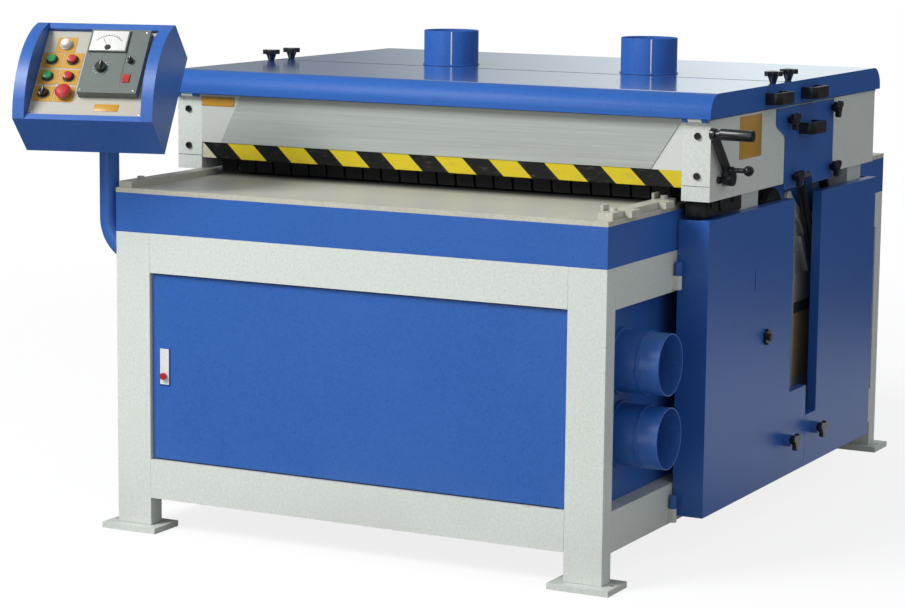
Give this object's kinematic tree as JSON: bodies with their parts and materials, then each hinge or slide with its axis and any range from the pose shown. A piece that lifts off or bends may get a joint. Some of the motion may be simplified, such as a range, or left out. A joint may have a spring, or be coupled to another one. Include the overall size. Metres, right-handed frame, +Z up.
{
  "type": "multi rip saw",
  "caption": "Multi rip saw with a welded frame, roller-fed table, saw arbors under a gull-wing hood, belt drive behind side doors and a control console on an arm.",
  "frame": {"origin": "on the floor at the centre of the four anchor holes in the foot plates", "axes": "+X to the belt side, +Y along the feed, +Z up"},
  "size_m": [1.7925, 2.2155, 1.2844],
  "materials": {
    "frame_enamel": "hammered pale grey enamel",
    "blue_paint": "textured blue paint",
    "table_enamel": "satin cream",
    "machine_grey": "satin grey",
    "cast_iron": "machined and oiled",
    "ground_steel": "ground",
    "blade_steel": "ground",
    "brushed_plate": "brushed along X",
    "stripe_paint": "yellow with black slanted stripes along its lower part",
    "black_plastic": "fine grained",
    "black_rubber": "matt",
    "panel_enamel": "satin beige grey",
    "controller_plastic": "fine grained",
    "red_plastic": "gloss",
    "green_plastic": "gloss"
  },
  "bodies": {
    "base": {"base_posts": "frame_enamel", "base_rails": "frame_enamel", "foot_plates": "frame_enamel", "table_apron": "blue_paint", "table_plates": "table_enamel", "body_panels": "blue_paint", "lower_dust_pipes": "blue_paint", "hinge_brackets": "frame_enamel", "electrical_panel": "machine_grey", "main_motors": "machine_grey", "motor_mounts": "frame_enamel", "arbor_bearings": "cast_iron", "drive_belts": "black_rubber", "end_housing_left": "frame_enamel", "end_housing_right": "frame_enamel", "head_beams": "stripe_paint", "guard_plates": "brushed_plate", "upper_belt_guard": "blue_paint", "clamp_knobs": "black_plastic", "guide_rods": "ground_steel", "feed_fences": "table_enamel", "console_arm": "blue_paint"},
    "hood_front": {"hood_front": "blue_paint", "hood_front_fittings": "black_plastic"},
    "hood_rear": {"hood_rear": "blue_paint", "hood_rear_fittings": "black_plastic", "top_dust_ports": "blue_paint"},
    "front_door": {"front_door": "blue_paint"},
    "lock_button": {"lock_button": "red_plastic"},
    "belt_door_front": {"belt_door_front": "blue_paint"},
    "belt_door_rear": {"belt_door_rear": "blue_paint"},
    "belt_door_front_knob": {"belt_door_front_knob": "black_plastic"},
    "belt_door_rear_knob": {"belt_door_rear_knob": "black_plastic"},
    "belt_door_lock": {"belt_door_lock": "black_plastic"},
    "upper_arbor": {"upper_arbor": "ground_steel", "upper_saw_blades": "blade_steel"},
    "lower_arbor": {"lower_arbor": "ground_steel", "lower_saw_blades": "blade_steel"},
    "motor_rotor_front": {"motor_pulley_front": "cast_iron"},
    "motor_rotor_rear": {"motor_pulley_rear": "cast_iron"},
    "lower_feed_roller_front": {"lower_feed_roller_front": "ground_steel"},
    "lower_feed_roller_rear": {"lower_feed_roller_rear": "ground_steel"},
    "upper_feed_roller_front": {"upper_feed_roller_front": "black_rubber"},
    "upper_feed_roller_rear": {"upper_feed_roller_rear": "black_rubber"},
    "pressure_beams": {"pressure_beams": "cast_iron"},
    "hand_crank": {"hand_crank": "black_plastic"},
    "crank_lock_pin": {"crank_lock_pin": "black_plastic"},
    "kickback_fingers": {"kickback_fingers": "cast_iron"},
    "console": {"console_case": "blue_paint", "console_panel": "panel_enamel", "controller_box": "controller_plastic"},
    "start_button_upper": {"start_button_upper": "green_plastic"},
    "start_button_lower": {"start_button_lower": "green_plastic"},
    "stop_button_upper": {"stop_button_upper": "red_plastic"},
    "stop_button_lower": {"stop_button_lower": "red_plastic"},
    "emergency_stop": {"emergency_stop": "red_plastic"},
    "mode_selector": {"mode_selector": "black_plastic"},
    "speed_knob": {"speed_knob": "black_plastic"},
    "trim_knob": {"trim_knob": "black_plastic"},
    "power_rocker": {"power_rocker": "red_plastic"}
  },
  "joints": [
    {"name": "hood_front_hinge", "type": "hinge", "parent": "base", "child": "hood_front", "pos_m": [0, -0.578, 1.085], "axis": [1, 0, 0], "range_deg": [0, 95]},
    {"name": "hood_rear_hinge", "type": "hinge", "parent": "base", "child": "hood_rear", "pos_m": [0, 0.65, 1.085], "axis": [-1, 0, 0], "range_deg": [0, 95]},
    {"name": "front_door_pivot", "type": "hinge", "parent": "base", "child": "front_door", "pos_m": [0.566, -0.963, 0.425], "axis": [0, 0, 1], "range_deg": [0, 110]},
    {"name": "lock_button_press", "type": "slide", "parent": "front_door", "child": "lock_button", "axis": [0, 1, 0], "range_m": [0, 0.003], "stiffness_N_per_m": 400},
    {"name": "belt_door_front_hinge", "type": "hinge", "parent": "base", "child": "belt_door_front", "pos_m": [0.692, -0.585, 0.45], "axis": [0, 0, -1], "range_deg": [0, 105]},
    {"name": "belt_door_rear_hinge", "type": "hinge", "parent": "base", "child": "belt_door_rear", "pos_m": [0.692, 0.687, 0.45], "axis": [0, 0, 1], "range_deg": [0, 105]},
    {"name": "belt_door_front_knob_turn", "type": "hinge", "parent": "belt_door_front", "child": "belt_door_front_knob", "pos_m": [0.781, -0.003, 0.203], "axis": [1, 0, 0], "range_deg": [0, 360]},
    {"name": "belt_door_rear_knob_turn", "type": "hinge", "parent": "belt_door_rear", "child": "belt_door_rear_knob", "pos_m": [0.781, 0.203, 0.203], "axis": [1, 0, 0], "range_deg": [0, 360]},
    {"name": "belt_door_lock_turn", "type": "hinge", "parent": "belt_door_front", "child": "belt_door_lock", "pos_m": [0.763, -0.165, 0.501], "axis": [1, 0, 0], "range_deg": [0, 90]},
    {"name": "upper_arbor_spin", "type": "hinge", "parent": "base", "child": "upper_arbor", "pos_m": [0, 0.19, 0.99], "axis": [1, 0, 0], "continuous": true},
    {"name": "lower_arbor_spin", "type": "hinge", "parent": "base", "child": "lower_arbor", "pos_m": [0, -0.06, 0.8], "axis": [1, 0, 0], "continuous": true},
    {"name": "motor_rotor_front_spin", "type": "hinge", "parent": "base", "child": "motor_rotor_front", "pos_m": [0.6, -0.14, 0.36], "axis": [1, 0, 0], "continuous": true},
    {"name": "motor_rotor_rear_spin", "type": "hinge", "parent": "base", "child": "motor_rotor_rear", "pos_m": [0.6, 0.56, 0.36], "axis": [1, 0, 0], "continuous": true},
    {"name": "lower_feed_front_spin", "type": "hinge", "parent": "base", "child": "lower_feed_roller_front", "pos_m": [0, -0.4, 0.832], "axis": [1, 0, 0], "continuous": true},
    {"name": "lower_feed_rear_spin", "type": "hinge", "parent": "base", "child": "lower_feed_roller_rear", "pos_m": [0, 0.4, 0.832], "axis": [1, 0, 0], "continuous": true},
    {"name": "crank_turn", "type": "hinge", "parent": "base", "child": "hand_crank", "pos_m": [0.77, -0.48, 0.939], "axis": [1, 0, 0], "range_deg": [0, 1260]},
    {"name": "pressure_lift", "type": "slide", "parent": "base", "child": "pressure_beams", "axis": [0, 0, 1], "range_m": [0, 0.035]},
    {"name": "upper_feed_front_spin", "type": "hinge", "parent": "pressure_beams", "child": "upper_feed_roller_front", "pos_m": [0, -0.4, 0.931], "axis": [1, 0, 0], "continuous": true},
    {"name": "upper_feed_rear_spin", "type": "hinge", "parent": "pressure_beams", "child": "upper_feed_roller_rear", "pos_m": [0, 0.4, 0.931], "axis": [1, 0, 0], "continuous": true},
    {"name": "crank_pin_pull", "type": "slide", "parent": "hand_crank", "child": "crank_lock_pin", "axis": [1, 0, 0], "range_m": [0, 0.008], "stiffness_N_per_m": 300},
    {"name": "finger_swing", "type": "hinge", "parent": "base", "child": "kickback_fingers", "pos_m": [0, -0.53, 0.985], "axis": [1, 0, 0], "range_deg": [0, 45]},
    {"name": "console_swivel", "type": "hinge", "parent": "base", "child": "console", "pos_m": [-0.716, -0.955, 1.1], "axis": [0, 0, 1], "range_deg": [-60, 60]},
    {"name": "start_button_upper_press", "type": "slide", "parent": "console", "child": "start_button_upper", "axis": [-0.208, 0.7255, -0.6561], "range_m": [0, 0.003], "stiffness_N_per_m": 400},
    {"name": "start_button_lower_press", "type": "slide", "parent": "console", "child": "start_button_lower", "axis": [-0.208, 0.7255, -0.6561], "range_m": [0, 0.003], "stiffness_N_per_m": 400},
    {"name": "stop_button_upper_press", "type": "slide", "parent": "console", "child": "stop_button_upper", "axis": [-0.208, 0.7255, -0.6561], "range_m": [0, 0.003], "stiffness_N_per_m": 400},
    {"name": "stop_button_lower_press", "type": "slide", "parent": "console", "child": "stop_button_lower", "axis": [-0.208, 0.7255, -0.6561], "range_m": [0, 0.003], "stiffness_N_per_m": 400},
    {"name": "emergency_stop_press", "type": "slide", "parent": "console", "child": "emergency_stop", "axis": [-0.208, 0.7255, -0.6561], "range_m": [0, 0.003], "stiffness_N_per_m": 800},
    {"name": "mode_selector_turn", "type": "hinge", "parent": "console", "child": "mode_selector", "pos_m": [-0.78997, -1.13238, 1.11811], "axis": [0.208, -0.7255, 0.6561], "range_deg": [-45, 45]},
    {"name": "speed_knob_turn", "type": "hinge", "parent": "console", "child": "speed_knob", "pos_m": [-0.66395, -1.06396, 1.18125], "axis": [0.208, -0.7255, 0.6561], "range_deg": [-150, 150]},
    {"name": "trim_knob_turn", "type": "hinge", "parent": "console", "child": "trim_knob", "pos_m": [-0.59872, -1.03024, 1.19785], "axis": [0.208, -0.7255, 0.6561], "range_deg": [-150, 150]},
    {"name": "power_rocker_tip", "type": "hinge", "parent": "console", "child": "power_rocker", "pos_m": [-0.59038, -1.05932, 1.15391], "axis": [0.9613, 0.2756, 0], "range_deg": [-10, 10]}
  ],
  "couplings": [
    {"joint": "motor_rotor_front_spin", "follows": "lower_arbor_spin", "ratio": 0.68889},
    {"joint": "motor_rotor_rear_spin", "follows": "upper_arbor_spin", "ratio": 0.68889},
    {"joint": "lower_feed_rear_spin", "follows": "lower_feed_front_spin", "ratio": 1},
    {"joint": "crank_turn", "follows": "pressure_lift", "rad_per_m": 628.3}
  ]
}
